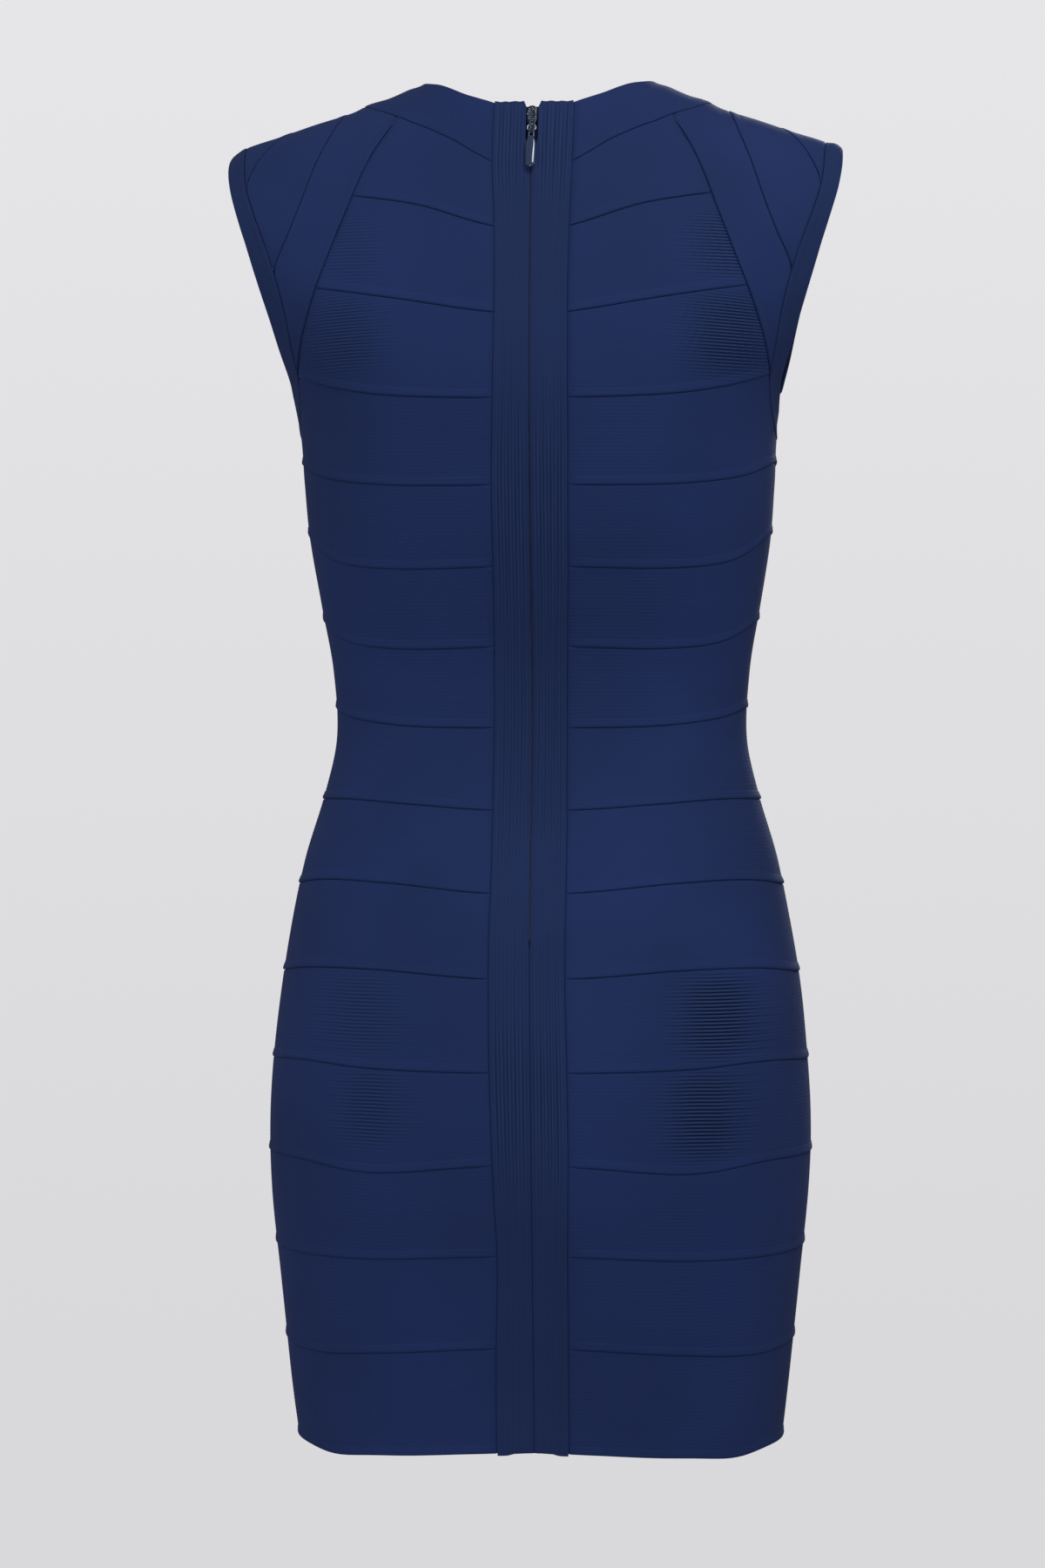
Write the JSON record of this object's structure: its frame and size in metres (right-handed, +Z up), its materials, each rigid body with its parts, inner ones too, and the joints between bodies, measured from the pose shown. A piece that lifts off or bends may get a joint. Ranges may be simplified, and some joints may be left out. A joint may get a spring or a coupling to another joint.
{
  "type": "sleeveless bodycon dress",
  "caption": "Short close-fitting sleeveless dress sewn from level bands of knit, in its worn hollow form, with a zip and pull tab down the centre back.",
  "frame": {"origin": "midway between the two points where the neckline crosses the shoulder line, where the wearer's shoulders hold the dress", "axes": "+Z up the wearer, +Y out of the wearer's front, so the zip and the back face -Y, +X to the wearer's right"},
  "size_m": [0.373, 0.2552, 0.8277],
  "materials": {
    "navy_knit": "dense fine knit with a soft sheen",
    "band_knit": "ribbed knit band, a little greyer than the strips",
    "zip_tape": "woven tape, matt",
    "zip_enamel": "glossy navy enamel"
  },
  "bodies": {
    "dress": {"neck_band": "navy_knit", "shoulder_strip_1_left": "navy_knit", "shoulder_strip_1_right": "navy_knit", "shoulder_strip_2_left": "navy_knit", "shoulder_strip_2_right": "navy_knit", "shoulder_strip_3_left": "navy_knit", "shoulder_strip_3_right": "navy_knit", "back_strip_1_left": "navy_knit", "back_strip_1_right": "navy_knit", "back_strip_2_left": "navy_knit", "back_strip_2_right": "navy_knit", "back_strip_3_left": "navy_knit", "back_strip_3_right": "navy_knit", "front_strip_1_left": "navy_knit", "front_strip_1_right": "navy_knit", "front_strip_2": "navy_knit", "front_strip_3": "navy_knit", "strip_04": "navy_knit", "strip_05": "navy_knit", "strip_06": "navy_knit", "strip_07": "navy_knit", "strip_08": "navy_knit", "strip_09": "navy_knit", "strip_10": "navy_knit", "strip_11": "navy_knit", "strip_12": "navy_knit", "strip_13": "navy_knit", "strip_14": "navy_knit", "strip_15": "navy_knit", "armhole_band_left": "band_knit", "armhole_band_right": "band_knit", "centre_band_left": "band_knit", "centre_band_right": "band_knit", "zip_tape": "zip_tape", "zip_slider": "zip_enamel"},
    "zip_pull": {"zip_pull_tab": "zip_enamel"}
  },
  "joints": [
    {"name": "zip_pull_hinge", "type": "hinge", "parent": "dress", "child": "zip_pull", "pos_m": [0, -0.08153, -0.04276], "axis": [-1, 0, 0], "range_deg": [0, 160]}
  ]
}
